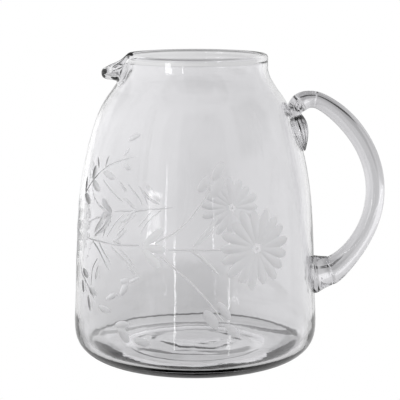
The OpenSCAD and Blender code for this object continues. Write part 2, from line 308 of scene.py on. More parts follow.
class Wall:
    """The turned wall of the jug: outer radius, slope and bore at any height."""

    def __init__(self, jug):
        self.jug = jug
        self.neck_z = jug.height - jug.neck_height
        self.join_z = jug.height - jug.spout_height - NECK_LEAD
        self.spout_half = asin(jug.spout_width / jug.neck_diameter)
        body, neck = jug.body_diameter / 2, jug.neck_diameter / 2
        low, high = (jug.ring_diameter / 2, 0.0), (body, jug.corner_height)
        self.corner = [rounded(low, high, pi / 2 * i / CORNER_STEPS)[::-1]
                       for i in range(CORNER_STEPS)]
        fine = [(mix(jug.corner_height, self.neck_z, p[0]), mix(neck, body, p[1]))
                for p in smooth_curve(SIDE_SHARES, SIDE_STEPS * FINE_STEPS)]
        self.side = fine[::FINE_STEPS]
        self.rows = self.corner + fine

    def radius(self, z):
        return lookup(self.rows, z)

    def slope(self, z):
        return (self.radius(z + PROBE) - self.radius(z - PROBE)) / (2 * PROBE)

    def bore(self, z):
        return self.radius(z) - self.jug.wall * hypot(1, self.slope(z))

    def free(self, z, foot):
        """Share of the hand's unevenness at a height: none at its foot and none at the bead."""
        jug = self.jug
        return (ease((z - foot) / jug.corner_height)
                * ease((jug.height - jug.bead_height - z) / jug.spout_height))

    def sink(self, angle, z):
        """How far the finished outer wall lies inside its turned shape."""
        return WALL_WAVER * self.free(z, 0) * (1 + waver(angle, z, OUTER_PHASE)) / 2

    def place(self, azimuth, z, lift):
        """A point at a height above the finished wall; azimuth 0 is the front, -Y."""
        slope = self.slope(z)
        size = hypot(1, slope)
        r = self.radius(z) - self.sink(azimuth - pi / 2, z) + lift / size
        return Vector((r * sin(azimuth), -r * cos(azimuth), z - lift * slope / size))

    def pulled(self, z, away):
        """A point of the neck, drawn out and down by the pull of the spout."""
        jug = self.jug
        rise = (z - jug.height + jug.spout_height) / (jug.spout_height - jug.rim / 2)
        turn = sin(pi / 2 * min(1.0, max(0.0, rise)))
        out = jug.spout_reach * bell(away) ** REACH_POWER * turn ** TURN_POWER
        down = jug.spout_dip * bell(away) ** DIP_POWER * turn ** DROP_POWER
        dent = LIP_DENT * bell((away - DENT_MIDDLE) / DENT_HALF) * turn ** DROP_POWER
        return (self.radius(z) + out, z - down - dent)

    def across(self, z, away):
        """Direction square through the glass at a place of the neck, from the outside in."""
        return turned(heading(self.pulled(z - PROBE / 2, away), self.pulled(z + PROBE / 2, away)))

    def inward(self, z, away):
        """Direction along which the bore is found: level at the neck's foot, square above."""
        across = self.across(z, away)
        u = ease((z - self.join_z) / NECK_LEAD)
        return unit((mix(-1, across[0], u), mix(0, across[1], u)))

    def glass(self, z, away):
        """Way through the glass at a height of the neck, which swells to the bead."""
        jug = self.jug
        bead = ease((z - jug.height + jug.bead_height) / (jug.bead_height - jug.rim / 2))
        across, way = self.across(z, away), self.inward(z, away)
        return mix(jug.wall, self.lip(away), bead) / (across[0] * way[0] + across[1] * way[1])

    def lip(self, away):
        """Thickness of the rim, which gathers into a drop at the tip of the spout."""
        return self.jug.rim + LIP_DROP * bell(away) ** 3

    def outside(self):
        """Outer outline from the standing ring up to the neck."""
        return [(r, z) for z, r in self.corner + self.side if z < self.join_z - PROBE]

    def section(self, away):
        """Outline of the glass in one slice, from the push-up round to the inner floor."""
        jug = self.jug
        kick_r = jug.ring_diameter / 2 - jug.ring_width
        floor_r = jug.floor_diameter / 2
        kick = [(kick_r * u, jug.kick_height * (1 - u ** KICK_POWER))
                for u in parts(KICK_STEPS)[:-1]]
        ring = [(kick_r, 0.0), (kick_r + jug.ring_width / 2, 0.0)]
        top = jug.height - jug.rim / 2
        heights = [mix(self.join_z, top, u) for u in parts(NECK_ROWS)]
        neck = [self.pulled(z, away) for z in heights]
        facing = [self.inward(z, away) for z in heights]
        lining = [stepped(p, f, self.glass(z, away)) for p, f, z in zip(neck, facing, heights)]
        across, half = facing[-1], self.lip(away) / 2
        up = (across[1], -across[0])
        middle = stepped(neck[-1], across, half)
        cap = [tuple(m + (u * sin(a) - c * cos(a)) * half for m, u, c in zip(middle, up, across))
               for a in (pi * i / CAP_ROWS for i in range(1, CAP_ROWS))]
        bore = [(self.bore(z), z) for z, r in self.side
                if jug.inner_corner_height + PROBE < z < self.join_z - PROBE]
        low = (floor_r, jug.floor_height)
        high = (self.bore(jug.inner_corner_height), jug.inner_corner_height)
        inner = [rounded(low, high, pi / 2 * (1 - (1 - u) ** CORNER_EVEN))
                 for u in parts(CORNER_STEPS)[:0:-1]]
        floor = [(floor_r * u, jug.floor_height + jug.floor_crown * bell(u))
                 for u in parts(FLOOR_STEPS)[::-1]]
        return (kick + ring + self.outside() + neck + cap + lining[::-1] + bore[::-1]
                + inner + floor)


def pick_none():
    bpy.ops.object.select_all(action="DESELECT")


def make_active(piece):
    pick_none()
    piece.select_set(True)
    bpy.context.view_layer.objects.active = piece


def edit(piece):
    make_active(piece)
    bpy.ops.object.mode_set(mode="EDIT")


def leave_edit():
    bpy.ops.object.mode_set(mode="OBJECT")


def face_out(piece, merge=False):
    """Turn the faces of a mesh out, after merging the seam and the poles of a spun one."""
    edit(piece)
    bpy.ops.mesh.select_mode(type="VERT")
    bpy.ops.mesh.select_all(action="SELECT")
    if merge:
        bpy.ops.mesh.remove_doubles(threshold=WELD)
    bpy.ops.mesh.normals_make_consistent(inside=False)
    leave_edit()


def coat(piece, material):
    piece.data.materials.append(bpy.data.materials[material])


def twin(piece):
    """A copy with a mesh of its own."""
    other = piece.copy()
    other.data = piece.data.copy()
    bpy.context.collection.objects.link(other)
    return other


def named(name):
    piece = bpy.context.object
    piece.name = name
    piece.data.name = name
    return piece


def ball(name, sides=SCOOP_SIDES, rows=SCOOP_ROWS):
    pick_none()
    bpy.ops.mesh.primitive_uv_sphere_add(segments=sides, ring_count=rows, radius=1)
    return named(name)


def finish_piece(piece, node):
    make_active(piece)
    bpy.ops.object.shade_smooth()
    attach(piece, "root")
    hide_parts(node)


def draw_section(name, points):
    """One vertex, extruded from point to point along a section in the XZ plane."""
    pick_none()
    bpy.ops.mesh.primitive_plane_add(size=MM, location=(0, 0, 0))
    piece = named(name)
    edit(piece)
    bpy.ops.mesh.merge(type="CENTER")
    bpy.ops.transform.translate(value=(points[0][0], 0, points[0][1]))
    for a, b in zip(points, points[1:]):
        step = {"value": (b[0] - a[0], 0, b[1] - a[1])}
        bpy.ops.mesh.extrude_vertices_move(TRANSFORM_OT_translate=step)
    leave_edit()
    return piece


def spin_round(piece, steps):
    edit(piece)
    bpy.ops.mesh.select_all(action="SELECT")
    bpy.ops.mesh.spin(steps=steps, angle=tau, center=(0, 0, 0), axis=(0, 0, 1))
    leave_edit()
    face_out(piece, merge=True)


def draw_rod(name, rings):
    """A straight rod with a row of edges for each ring, then bent ring by ring."""
    sides = len(rings[0])
    pick_none()
    bpy.ops.mesh.primitive_cylinder_add(vertices=sides, radius=1, depth=len(rings) - 1,
                                        end_fill_type="NGON")
    piece = named(name)
    low = -(len(rings) - 1) / 2
    edit(piece)
    bpy.ops.mesh.select_all(action="DESELECT")
    bpy.ops.mesh.select_mode(type="EDGE")
    leave_edit()
    for edge in piece.data.edges:  # only those that run from one end to the other are cut
        a, b = (piece.data.vertices[i].co for i in edge.vertices)
        edge.select = abs(a.z - b.z) > 0.5
    bpy.ops.object.mode_set(mode="EDIT")
    bpy.ops.mesh.subdivide(number_cuts=len(rings) - 2)
    leave_edit()
    for vertex in piece.data.vertices:
        x, y, z = vertex.co
        side = round(atan2(y, x) / tau * sides) % sides
        vertex.co = rings[round(z - low)][side]
    face_out(piece)
    return piece


def carve(piece, tool):
    """Take the tool's shape out of the piece; its faces bring their own material."""
    cut = piece.modifiers.new("carve", "BOOLEAN")
    cut.operation = "DIFFERENCE"
    cut.object = tool
    cut.solver = "MANIFOLD"
    cut.material_mode = "TRANSFER"
    make_active(piece)
    bpy.ops.object.modifier_apply(modifier=cut.name)
    bpy.data.objects.remove(tool)


def pull_spout(piece, wall):
    """Draw the soft rim out into the spout and leave the unevenness of handwork."""
    jug = wall.jug
    plain = wall.section(1)
    tree = KDTree(len(plain))
    for i, (r, z) in enumerate(plain):
        tree.insert((r, 0, z), i)
    tree.balance()
    outer_end = next(i for i, p in enumerate(plain) if p[1] >= jug.height - jug.rim / 2)
    floor_r = jug.floor_diameter / 2
    slices = {}
    for vertex in piece.data.vertices:
        x, y, z = vertex.co
        angle = atan2(y, x)
        # Rounded, so that both sides of the spout share their slices
        away = round(min(1.0, abs((angle % tau) - pi) / wall.spout_half), 5)
        if away not in slices:
            slices[away] = wall.section(away)
        index = tree.find((hypot(x, y), 0, z))[1]
        r, z = slices[away][index]
        if index < KICK_STEPS:
            u = index / KICK_STEPS
            z += (KICK_WAVE * wave(angle, KICK_WAVE_COUNT * u)
                  * bell((u - KICK_WAVE_MIDDLE) / KICK_WAVE_HALF))
        elif index <= outer_end:
            r -= wall.sink(angle, z)
        elif z > jug.inner_corner_height:
            r += (BORE_WAVER * wall.free(z, jug.inner_corner_height)
                  * waver(angle, z, INNER_PHASE))
        elif r < floor_r:
            u = r / floor_r
            z += FLOOR_WAVE * wave(angle, FLOOR_WAVE_COUNT * u) * bell(2 * u - 1)
        vertex.co = (r * cos(angle), r * sin(angle), z)


def blow_body(context):
    wall = Wall(context.scene.pitcher_jug)
    piece = draw_section("jug_glass", wall.section(1))
    spin_round(piece, AROUND)
    pull_spout(piece, wall)
    coat(piece, "blown_glass")
    return piece


def in_plane(point):
    """A point or direction of the handle's plane as a vector."""
    return Vector((point[0], 0, point[1]))


def wall_blank(wall):
    """The body's outer shape as one solid, let in by the depth of a fused joint."""
    outline = wall.outside()
    blank = draw_section("wall_blank", [(0, 0)] + outline + [(0, outline[-1][1])])
    spin_round(blank, AROUND)
    for vertex in blank.data.vertices:
        x, y, z = vertex.co
        r = hypot(x, y)
        if r > SEAT:
            keep = 1 - (wall.sink(atan2(y, x), z) + SEAT) / r
            vertex.co = (x * keep, y * keep, z)
    coat(blank, "fused_joint")
    return blank


def fuse_end(piece, place, along, reach):
    """Give the flat end of a piece at a seam the material of a fused joint."""
    place, along = in_plane(place), in_plane(along)
    coat(piece, "fused_joint")
    for face in piece.data.polygons:
        off = face.center - place
        if (abs(off.dot(along)) < SEAM_REACH and off.length < reach
                and abs(face.normal.dot(along)) > SEAM_FACING):
            face.material_index = 1


class Pad:
    """Where the lower pad sits and which way it points."""

    def __init__(self, pad, wall):
        self.root = (wall.radius(pad.height), pad.height)
        self.axis = (cos(pad.tilt), sin(pad.tilt))
        self.end = stepped(self.root, self.axis, pad.length)


def hollow(piece, middle, radii, sides=SCOOP_SIDES, rows=SCOOP_ROWS):
    """Take a ball or an egg out of a piece of drawn glass."""
    tool = ball("hollow", sides, rows)
    coat(tool, "drawn_glass")
    for vertex in tool.data.vertices:
        vertex.co = middle + Vector(a * r for a, r in zip(vertex.co, radii))
    carve(piece, tool)


def press_pad(context):
    pad = context.scene.pitcher_pad
    wall = Wall(context.scene.pitcher_jug)
    spot = Pad(pad, wall)
    r, end_r = pad.diameter / 2, pad.end_diameter / 2
    outline = [(0, -SINK), (r, -SINK)]
    outline += [(mix(end_r, r, (1 - u) ** PAD_FLARE), pad.length * u)
                for u in parts(PAD_STEPS)]
    outline += [(0, pad.length)]
    piece = draw_section("handle_pad", outline)
    spin_round(piece, ROD_SIDES)
    along = in_plane(spot.axis)
    up = in_plane(turned(spot.axis))
    across = Vector((0, 1, 0))
    for vertex in piece.data.vertices:
        x, y, z = vertex.co
        vertex.co = in_plane(spot.root) + across * x + up * y + along * z
    face_out(piece)
    coat(piece, "drawn_glass")
    fuse_end(piece, spot.end, spot.axis, r)
    carve(piece, wall_blank(wall))
    for far, side, rise, diameter in SEEDS:
        middle = in_plane(spot.root) + along * pad.length * far
        middle += (across * side + up * rise) * end_r
        hollow(piece, middle, [diameter / 2] * 3, SEED_SIDES, SEED_ROWS)
    return piece


class Line:
    """A line of places in the handle's plane, which sets out in the direction start."""

    def along(self, i):
        if i == 0:
            return self.start
        return heading(self.line[i - 1], self.line[min(len(self.line) - 1, i + 1)])

    def drawn(self, name, angles):
        """Glass drawn along the line, with points at the given angles of its section."""
        rings = []
        for i, place in enumerate(self.line):
            across, halves, ring = turned(self.along(i)), self.halves(i), []
            for a in angles:
                thick, wide = (half - self.dip(i, a) for half in halves)
                ring.append(Vector((place[0] + across[0] * thick * sin(a), wide * cos(a),
                                    place[1] + across[1] * thick * sin(a))))
            rings.append(ring)
        piece = draw_rod(name, rings)
        coat(piece, "drawn_glass")
        return piece


class Bow(Line):
    """The handle's centre line: two quarters of a rounded bow that meet at the grip."""

    def __init__(self, scene):
        jug, rod, crimp = scene.pitcher_jug, scene.pitcher_rod, scene.pitcher_crimp
        wall = Wall(jug)
        self.rod, self.pad = rod, Pad(scene.pitcher_pad, wall)
        self.start = self.pad.axis
        self.pad_r = scene.pitcher_pad.end_diameter / 2
        self.grip_x = jug.body_diameter / 2 + rod.finger_gap + rod.thickness / 2
        self.waist_z = jug.height - crimp.drop
        self.seam = (wall.radius(self.waist_z) + crimp.curl_run, self.waist_z + crimp.curl_rise)
        angles = [pi / 2 * (1 - cos(pi / 2 * i / ROD_STATIONS)) for i in range(ROD_STATIONS + 1)]
        self.line = [self.bent(self.pad.end, a, BOW_LOW) for a in angles[:0:-1]]
        self.line += [self.bent(self.seam, a, BOW_HIGH) for a in angles]

    def bent(self, start, a, power):
        return (mix(start[0], self.grip_x, max(0.0, cos(a)) ** power),
                mix(self.rod.grip_height, start[1], sin(a)))

    def way_out(self, point, start):
        return (point[0] - start[0]) / (self.grip_x - start[0])

    def half(self, i, grip):
        """Half the rod's thickness or width at a station, from half of that at the grip."""
        top = self.rod.top_thickness / 2
        if i < ROD_STATIONS:
            flare = (1 - self.way_out(self.line[i], self.pad.end)) ** FLARE_POWER
            return mix(grip, self.pad_r, flare)
        return mix(top, grip, ease(self.way_out(self.line[i], self.seam) / THIN_SHARE))

    def halves(self, i):
        return [self.half(i, grip / 2) for grip in (self.rod.thickness, self.rod.width)]

    def dip(self, i, a):
        """How far the hand's unevenness sets the skin in at a station and an angle."""
        fade = bell(2 * i / (len(self.line) - 1) - 1) ** ROD_FADE_POWER
        return ROD_WAVER * fade * (1 + waver(a, self.line[i][1], INNER_PHASE)) / 2


def draw_handle(context):
    bow = Bow(context.scene)
    piece = bow.drawn("handle_rod", [tau * j / ROD_SIDES for j in range(ROD_SIDES)])
    fuse_end(piece, bow.pad.end, bow.pad.axis, bow.pad_r)
    fuse_end(piece, bow.seam, bow.along(len(bow.line) - 1), bow.rod.top_thickness)
    return piece


class Crimp(Line):
    """The crimped end: a curl from the seam to the waist, then a leaf along the wall."""

    def __init__(self, scene):
        crimp, self.wall, bow = scene.pitcher_crimp, Wall(scene.pitcher_jug), Bow(scene)
        self.crimp, self.bow = crimp, bow
        self.top = scene.pitcher_rod.top_thickness
        self.start = bow.along(len(bow.line) - 1)
        waist = self.leaf_place(0)
        levers = [bow.seam, stepped(bow.seam, self.start, crimp.curl_run * CURL_OUT_SHARE),
                  (waist[0] - crimp.curl_run * CURL_IN_SHARES[0],
                   waist[1] + crimp.curl_rise * CURL_IN_SHARES[1]), waist]
        self.line = [self.on_levers(levers, u) for u in parts(CURL_STATIONS)[:-1]]
        self.line += [self.leaf_place(u) for u in parts(LEAF_STATIONS)]
        self.leaf = smooth_curve(LEAF_SHARES, LEAF_STEPS)

    def leaf_place(self, u):
        z = self.bow.waist_z - self.crimp.leaf_length * u
        return (self.wall.radius(z) + self.crimp.leaf_thickness * LEAF_LIFT_SHARE, z)

    @staticmethod
    def on_levers(p, u):
        v = 1 - u
        return tuple(a * v ** 3 + 3 * b * v * v * u + 3 * c * v * u * u + d * u ** 3
                     for a, b, c, d in zip(*p))

    def leaf_share(self, i):
        return max(0.0, (i - CURL_STATIONS) / LEAF_STATIONS)

    def halves(self, i):
        """Half the thickness and half the width at a station; the curl swells on its way."""
        rise, spread = (lookup(self.leaf, self.leaf_share(i), column) for column in (1, 2))
        leaf = (self.crimp.leaf_thickness * (rise - LEAF_LIFT_SHARE),
                self.crimp.leaf_width / 2 * spread)
        if i >= CURL_STATIONS:
            return leaf
        u = i / CURL_STATIONS
        return [mix(self.top / 2, half, ease(u)) + self.top * swell * bell(2 * u - 1)
                for half, swell in zip(leaf, CURL_SWELLS)]

    def dip(self, i, a):
        """Depth of the pressed grooves at a station and an angle round the face."""
        u = self.leaf_share(i)
        if a >= pi or not 0 < u < 1:
            return 0.0
        fade = bell(2 * u - 1) ** RIB_FADE_POWER
        return self.crimp.rib_depth * fade * (1 - cos(2 * self.crimp.ribs * a)) / 2


def crimp_end(context):
    shape = Crimp(context.scene)
    face = RIB_SIDES * shape.crimp.ribs
    angles = [pi * j / face for j in range(face)]
    angles += [pi + pi * j / BACK_SIDES for j in range(BACK_SIDES)]
    piece = shape.drawn("crimped_leaf", angles)
    fuse_end(piece, shape.bow.seam, shape.start, shape.top)
    carve(piece, wall_blank(shape.wall))
    waist, wide = shape.leaf_place(0), shape.halves(CURL_STATIONS // 2)[1]
    for side in (-1, 1):
        middle = Vector((waist[0] + shape.crimp.curl_run * EYE_SHARES[0], side * wide,
                         waist[1] + shape.crimp.curl_rise * EYE_SHARES[1]))
        hollow(piece, middle, EYE_RADII)
    return piece


# The pattern. Places are azimuth in degrees from the front, and height in millimetres.
# Daisies: centre, then size as a share of the front one and turn of the first petal
DAISIES = [(29.5, 80, 1.0, 7), (-88, 81, 1.0, 16), (160, 81, 0.92, 2)]
# Leaves: from azimuth and height, to azimuth and height, width, and swell towards the far end
FAN_PETALS = [(-24.3, 81.9, -14.7, 92.5, 4.9, 0.22), (-23.9, 81.3, -13.1, 80.5, 4.9, 0.22),
              (-24.3, 80.6, -15.8, 70.0, 4.9, 0.22)]
FAN_LEAVES = [(1.9, 113.6, 6.7, 122.6, 5.2, 0), (8.7, 120.1, 14.3, 130.4, 5.6, 0),
              (8, 110.7, 13.2, 121.7, 5.4, 0), (10.4, 50.4, 15.9, 39.8, 5.2, 0),
              (4.4, 45.7, 10.1, 35.2, 6.4, 0), (13.8, 37.2, 20.3, 29.2, 5.2, 0),
              (-1, 82.7, 10.5, 98.2, 2.4, 0.1), (-38.8, 33, -30.8, 35.3, 4.6, 0),
              (-36.8, 33.4, -31.1, 24.1, 6, 0), (-28.5, 26.6, -20.2, 24.8, 5, 0)]
FERN_LEAVES = [(-46.7, 97.3, -55.1, 85.2, 2.8, 0), (-32.9, 90.6, -41, 81.8, 2, 0),
               (-29.1, 102.2, -35, 94, 2.2, 0), (-34.3, 72, -27.3, 64.6, 1.8, 0),
               (-31.4, 59.4, -25.8, 63.5, 2.4, 0)]
SPRAY_LEAVES = [(-59.9, 124.2, -61.1, 115.5, 4.6, 0), (-60.9, 114.8, -52.8, 110.2, 4.8, 0),
                (-68.6, 116.1, -67.8, 106.6, 3.6, 0), (-68.3, 105.8, -60.4, 101.7, 5, 0),
                (-52.1, 121.6, -42.2, 118.7, 4.3, 0), (-59.9, 129.3, -56.4, 123, 1.8, 0),
                (-49.7, 131.3, -51.3, 123.7, 1.6, 0), (-35.8, 136.8, -39.5, 131.7, 2, 0),
                (-39.2, 127.6, -33.2, 124.9, 3.2, 0), (-38, 140.9, -30.5, 145.2, 3.4, 0),
                (-66.4, 60.2, -59.5, 57.6, 4.8, 0), (-66.7, 53.9, -64.8, 46.5, 3.4, 0),
                (-58.5, 50.3, -52, 48.6, 4.6, 0), (-59.8, 46.6, -56.9, 37.4, 3.4, 0),
                (-50.4, 66.6, -53.2, 57.3, 2.8, 0), (-50.1, 41.8, -42.1, 40.6, 4.1, 0)]
# Stems and fine blades: azimuth, height and width at each point
FAN_STEMS = [
    [(-20.5, 82.3, 2.4), (-15.6, 86.1, 1.6), (-9, 90.9, 1.3), (-3.1, 97.6, 1.2),
     (1.5, 104.9, 1.2), (5.8, 112.1, 1.2), (7.3, 116.7, 1.0)],
    [(-13.6, 80.8, 1.5), (-1.5, 80.9, 1.2), (15.8, 80.5, 1.0)],
    [(-2.5, 81.2, 0.9), (2, 77.3, 2.0), (6.5, 72.1, 2.0), (11.7, 64.8, 1.1)],
    [(-1.5, 82.1, 0.9), (2.1, 86.2, 1.9), (6.6, 92.7, 2.1), (11.3, 100.5, 1.0)],
    [(-0.8, 82.4, 0.8), (4.2, 87, 1.5), (9.7, 94.9, 0.9)],
    [(-19.2, 78, 2.2), (-14.1, 75.1, 1.5), (-8.9, 69.6, 1.1), (-2.4, 62.8, 1.0),
     (3.9, 54, 1.0), (7.7, 48.1, 1.0), (11.6, 41.1, 0.9), (14.4, 37.1, 0.8)]]
FERN_STEMS = [
    [(-65.7, 80.8, 0.9), (-57, 80.7, 0.9), (-49.5, 80.9, 0.9), (-37.9, 80.8, 0.9),
     (-29.9, 81.8, 1.1), (-24.2, 82.3, 1.3)],
    [(-44, 94.8, 1.1), (-48.2, 88.8, 1.8), (-55.6, 82.7, 1.3)],
    [(-34.4, 99.9, 0.8), (-40.1, 93.1, 0.9), (-45.9, 83.1, 0.8)],
    [(-41.8, 98.1, 0.8), (-45.4, 91.1, 0.9), (-48.6, 82.2, 0.8)],
    [(-57, 80.6, 1.0), (-50.4, 75.1, 1.1), (-42, 63.1, 0.8)],
    [(-51.2, 80.9, 0.8), (-47.6, 75.9, 0.9), (-41.9, 69.2, 0.8)],
    [(-42.9, 79.9, 0.8), (-36.1, 74.4, 0.9), (-27.3, 67.2, 0.8)],
    [(-37.9, 79.4, 0.8), (-32.5, 74.9, 0.8), (-28.1, 69.1, 0.7)]]
SPRAY_STEMS = [
    [(-73.9, 98.2, 1.0), (-67.6, 106.7, 1.0), (-62.6, 112.9, 0.9), (-57.9, 117.8, 0.9),
     (-52.8, 122.4, 0.8), (-45.7, 127, 0.8), (-34.4, 131.6, 0.8), (-27.7, 132.7, 0.7)],
    [(-53.3, 118.5, 0.8), (-45.8, 112.8, 0.9), (-39.4, 108.3, 0.8), (-35.4, 105.6, 0.7)],
    [(-71.6, 68.8, 1.0), (-68.4, 59, 0.9), (-64.3, 55.4, 0.9), (-57.1, 49.5, 0.9),
     (-51.4, 41.5, 0.8)],
    [(-50.8, 71.7, 0.7), (-55.8, 62.8, 0.9), (-57, 51.2, 0.8)]]
# Turns of the repeats round the jug; the side under the handle stays plain
FAN_TURNS, SPRAY_TURNS = (0, -105), (0,)

SCOOP_OVERRUN = 1.25  # how far a scoop's tool runs past the edge of its cut, as a share
SCOOP_DOME = 0.9 * MM  # height of the tool's back above the wall
WHEEL_SIDES, STEM_STEPS = 16, 8
STEM_RISE = 0.35  # how far the wheel has left the wall at a stem's ends, as a share of depth
STEM_LEAD = 0.22  # share of a stem over which the wheel comes down into the wall
SWELL_DEEPENS = 0.9  # how much deeper a cut is where it swells
# Places along a scoop at which the room that it takes is told
SPINE_PLACES = (-1.1, -0.75, -0.5, -0.25, 0, 0.25, 0.5, 0.75, 1.1)
PETAL_SWELL, PETAL_UNEVEN = 0.34, 0.05
PETAL_BEATS = (2.7, 1.9)  # how the length and the turn of the petals stray from one to the next
FULL_WIDTH, LEAST_SHARE = 5, 0.25  # a narrow leaf is less deep, down to this share
CUT_MARGIN = 0.4 * MM  # least distance of two tools that cut at the same time


def on_wall(wall, azimuth, z, aside, up, lift):
    """A place on the wall, an offset along it in metres, and a height above it."""
    size = hypot(1, wall.slope(z))
    high = z + up / size
    return wall.place(azimuth + aside / wall.radius(high), high, lift)


class Cut:
    """One tool for the wall, with points along it that tell how much room it takes."""

    def __init__(self, tool, spine):
        self.tool = tool
        self.spine = spine

    def touches(self, other):
        return any((p - q).length < a + b + CUT_MARGIN
                   for p, a in self.spine for q, b in other.spine)


def scoop_leaf(wall, scoop, middle, turn, size, depth, swell, skin="ground_glass"):
    """A long hollow cut with the wheel's round edge; size is its length and width."""
    tool = twin(scoop)
    coat(tool, skin)
    azimuth, z = middle
    rim = depth * (SCOOP_OVERRUN ** 2 - 1)
    for vertex in tool.data.vertices:
        x, y, up = vertex.co
        side = atan2(y, x)
        fall = asin(max(-1.0, min(1.0, up))) / (pi / 2)
        out = SCOOP_OVERRUN * (1 - abs(fall))
        a, b = out * cos(side), out * sin(side)
        if fall <= 0:
            lift = -depth * (1 - out * out) * (1 + SWELL_DEEPENS * swell * a)
        else:
            lift = (rim * (1 + SWELL_DEEPENS * swell * a)
                    + SCOOP_DOME * (1 - (out / SCOOP_OVERRUN) ** 2))
        along, across = a * size[0] / 2, b * size[1] / 2 * (1 + swell * a)
        vertex.co = on_wall(wall, azimuth, z, along * cos(turn) - across * sin(turn),
                            along * sin(turn) + across * cos(turn), lift)
    half = size[0] / 2
    spine = [(on_wall(wall, azimuth, z, u * half * cos(turn), u * half * sin(turn), 0),
              size[1] / 2 * (1 + max(0, swell)) * (1 - 0.5 * u * u)) for u in SPINE_PLACES]
    return Cut(tool, spine)


def scoop_between(wall, scoop, leaf, turn, deepest, skin):
    """A leaf from one place on the wall to another, turned round the jug."""
    az_a, z_a, az_b, z_b, width, swell = leaf
    azimuth, z = radians((az_a + az_b) / 2 + turn), (z_a + z_b) / 2 * MM
    aside = radians(az_b - az_a) * wall.radius(z)
    up = (z_b - z_a) * MM * hypot(1, wall.slope(z))
    depth = deepest * min(1, width / FULL_WIDTH + LEAST_SHARE)
    return scoop_leaf(wall, scoop, (azimuth, z), atan2(up, aside),
                      (hypot(aside, up), width * MM), depth, swell, skin)


def grind_stem(wall, points, turn, depth_share, skin):
    """A groove along a smooth line; the wheel comes down into the wall and leaves it."""
    line = [(radians(az + turn), z * MM, w * MM) for az, z, w in smooth_curve(points, STEM_STEPS)]
    last = len(line) - 1
    rings, spine = [], []
    for i, (azimuth, z, width) in enumerate(line):
        a, b = line[max(0, i - 1)], line[min(last, i + 1)]
        along = unit(((b[0] - a[0]) * wall.radius(z), (b[1] - a[1]) * hypot(1, wall.slope(z))))
        depth = depth_share * width
        edge = (width * width / 4 + depth * depth) / (2 * depth)
        down = ease(min(i, last - i) / (last * STEM_LEAD))
        sunk = mix(-STEM_RISE * depth, depth, down)
        ring = []
        for j in range(WHEEL_SIDES):
            angle = tau * j / WHEEL_SIDES
            across = edge * cos(angle)
            ring.append(on_wall(wall, azimuth, z, -along[1] * across, along[0] * across,
                                edge - sunk + edge * sin(angle)))
        rings.append(ring)
        spine.append((wall.place(azimuth, z, 0), edge))
    tool = draw_rod("wheel_track", rings)
    coat(tool, skin)
    return Cut(tool, spine)


def daisy(wall, scoop, cut, spot):
    """Petals round an eye, deepest near their tips."""
    azimuth, z, size, first = spot
    azimuth, z = radians(azimuth), z * MM
    found = []
    for k in range(cut.petals):
        turn = radians(first) + tau * k / cut.petals
        uneven = 1 + PETAL_UNEVEN * sin(PETAL_BEATS[0] * k + first)
        start, reach = cut.petal_start * size, cut.petal_reach * size * uneven
        middle = (start + reach) / 2
        high = z + middle * sin(turn) / hypot(1, wall.slope(z))
        place = (azimuth + middle * cos(turn) / wall.radius(high), high)
        turn += PETAL_UNEVEN * sin(PETAL_BEATS[1] * k)
        found.append(scoop_leaf(wall, scoop, place, turn, (reach - start, cut.petal_width * size),
                                cut.petal_depth, PETAL_SWELL))
    found.append(scoop_leaf(wall, scoop, (azimuth, z), 0, (cut.eye, cut.eye), cut.eye_depth, 0))
    return found


def all_cuts(scene, wall):
    cut = scene.pitcher_cut
    scoop = ball("scoop")
    found = []
    for spot in DAISIES:
        found += daisy(wall, scoop, cut, spot)
    for leaves, stems, turns, skin in (
            # the bud's petals and stems: cut glass with extra white scatter, in part a painted
            # highlight
            (FAN_PETALS, FAN_STEMS, FAN_TURNS, "coarse_glass_painted_highlight"),
            (FAN_LEAVES + FERN_LEAVES, FERN_STEMS, FAN_TURNS, "ground_glass"),
            (SPRAY_LEAVES, SPRAY_STEMS, SPRAY_TURNS, "ground_glass")):
        for turn in turns:
            found += [scoop_between(wall, scoop, leaf, turn, cut.leaf_depth, skin)
                      for leaf in leaves]
            found += [grind_stem(wall, points, turn, cut.stem_depth_share, skin)
                      for points in stems]
    bpy.data.objects.remove(scoop)
    return found


def cut_pattern(body, scene):
    """Cut the pattern in rounds, so that tools that touch never cut at the same time."""
    wall = Wall(scene.pitcher_jug)
    rounds = []
    for cut in all_cuts(scene, wall):
        free = next((r for r in rounds if not any(cut.touches(other) for other in r)), None)
        if free is None:
            free = []
            rounds.append(free)
        free.append(cut)
    for cuts in rounds:
        pick_none()
        for cut in cuts:
            cut.tool.select_set(True)
        bpy.context.view_layer.objects.active = cuts[0].tool
        if len(cuts) > 1:
            bpy.ops.object.join()
        tool = bpy.context.view_layer.objects.active
        face_out(tool)
        carve(body, tool)


def crease_cuts(body):
    """Make the edges sharp where a cut meets the polished wall."""
    mesh = body.data
    seen = {}
    for face in mesh.polygons:
        for key in face.edge_keys:
            seen.setdefault(key, set()).add(face.material_index)
    for edge in mesh.edges:
        edge.use_edge_sharp = len(seen.get(edge.key, ())) > 1


# Layers of fine unevenness: scale, detail, stretch and height of each
BLOWN_SKIN = [(38, 1, (1, 1, 0.6), 0.06 * MM), (120, 2, (1, 1, 0.6), 0.06 * MM)]
DRAWN_SKIN = [(60, 1, (1, 1, 0.5), 0.04 * MM), (240, 2, (1, 1, 0.35), 0.006 * MM)]
GROUND_SKIN = [(900, 2, (1, 1, 1), 0.01 * MM)]
WHITE = (1, 1, 1, 1)


def add_node(tree, kind, settings=None, **inputs):
    """A node with its settings and input values; an input may be another node or its output."""
    node = tree.nodes.new("ShaderNode" + kind)
    for name, value in (settings or {}).items():
        setattr(node, name, value)
    for name, value in inputs.items():
        socket = node.inputs[int(name[1:]) if name[0] == "_" else name.replace("_", " ")]
        if isinstance(value, bpy.types.Node):
            value = value.outputs[0]
        if isinstance(value, bpy.types.NodeSocket):
            tree.links.new(value, socket)
        else:
            socket.default_value = value
    return node


